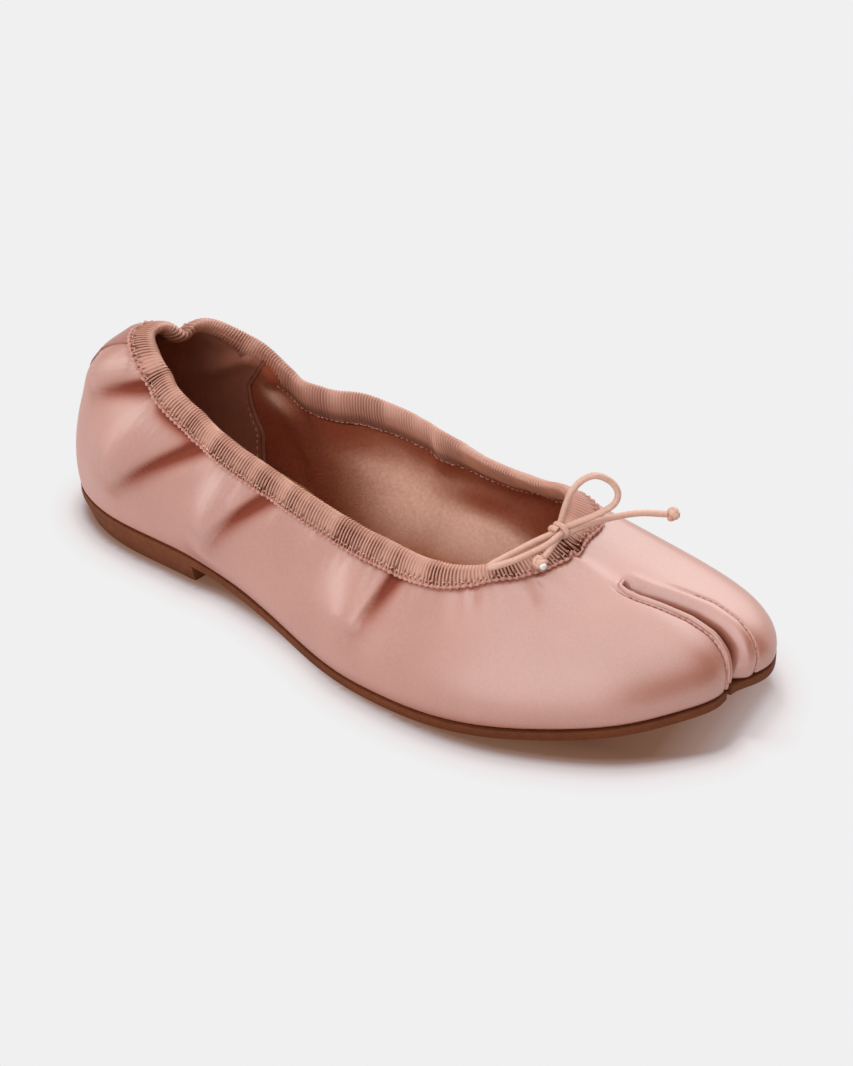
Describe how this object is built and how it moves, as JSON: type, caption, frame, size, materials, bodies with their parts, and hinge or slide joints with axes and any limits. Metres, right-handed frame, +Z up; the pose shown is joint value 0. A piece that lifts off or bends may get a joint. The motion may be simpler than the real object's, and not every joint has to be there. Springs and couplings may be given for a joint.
{
  "type": "ballet flat",
  "caption": "Split-toe ballet flat with a gathered satin upper, elastic ribbon topline, small cord bow, thin leather sole and low stacked heel.",
  "frame": {"origin": "centre of the shoe's box, without the bow, at the floor", "axes": "+X from heel to toe, +Y towards the medial (big toe) side, +Z up"},
  "size_m": [0.2432, 0.0874, 0.0701],
  "materials": {
    "satin": "pale pink satin, soft sheen",
    "ribbon": "ribbed grosgrain ribbon, gathered over elastic",
    "bow_cord": "braided round cord",
    "lining": "woven brown-pink lining",
    "thread": "spun sewing thread",
    "sole_leather": "sanded brown leather edge and tread",
    "heel_leather": "stacked brown leather, matt",
    "insole_leather": "smooth tan leather"
  },
  "bodies": {
    "root": {"upper": "satin", "topline_casing": "ribbon", "outsole": "sole_leather", "heel": "heel_leather", "insole": "insole_leather", "bow_knot": "bow_cord", "bow_loop_inner": "bow_cord", "bow_loop_outer": "bow_cord", "bow_end_inner": "bow_cord", "bow_end_outer": "bow_cord", "bow_tip_inner": "bow_cord", "bow_tip_outer": "bow_cord"}
  },
  "joints": []
}
